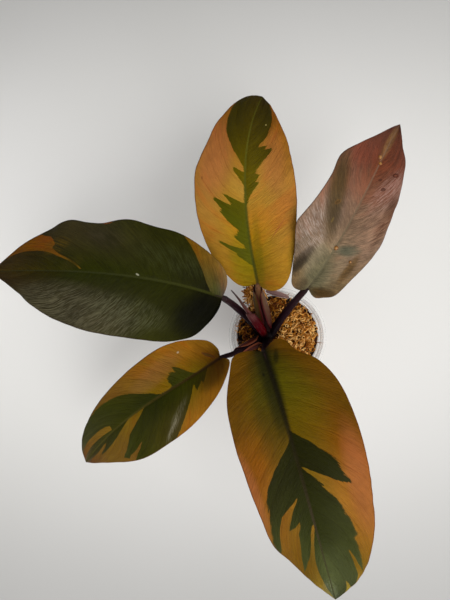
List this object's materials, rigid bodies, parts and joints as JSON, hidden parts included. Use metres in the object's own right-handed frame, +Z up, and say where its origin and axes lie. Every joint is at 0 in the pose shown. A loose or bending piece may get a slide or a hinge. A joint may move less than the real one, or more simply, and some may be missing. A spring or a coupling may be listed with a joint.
{
  "type": "potted philodendron",
  "caption": "Small aroid house plant in a clear round pot of moss, with broad variegated leaves on dark stalks and a new leaf standing in a red sheath.",
  "frame": {"origin": "centre of the pot's underside, on the ground", "axes": "+Z up along the pot's axis, +Y to the back leaf, +X to the right of a viewer at the front"},
  "size_m": [0.3648, 0.4279, 0.198],
  "materials": {
    "clear_plastic": "clear and glossy",
    "moss": "matte fibres",
    "root": "matte",
    "stem": "satin",
    "stalk": "satin",
    "variegated_leaf": "satin, soft gloss",
    "green_leaf": "satin, soft gloss",
    "copper_leaf": "satin sheen",
    "new_leaf": "satin",
    "brown_sheath": "satin",
    "red_sheath": "soft gloss",
    "dry_sheath": "matte"
  },
  "bodies": {
    "root": {"pot": "clear_plastic", "moss": "moss", "roots": "root", "stem": "stem", "petiole_back": "stalk", "blade_back": "variegated_leaf", "petiole_back_right": "stalk", "blade_back_right": "copper_leaf", "petiole_left": "stalk", "blade_left": "green_leaf", "petiole_front_left": "stalk", "blade_front_left": "variegated_leaf", "petiole_front": "stalk", "blade_front": "variegated_leaf", "sheath_back": "brown_sheath", "sheath_front_left": "brown_sheath", "red_sheath": "red_sheath", "rolled_leaf": "new_leaf", "fallen_sheath": "dry_sheath"}
  },
  "joints": []
}
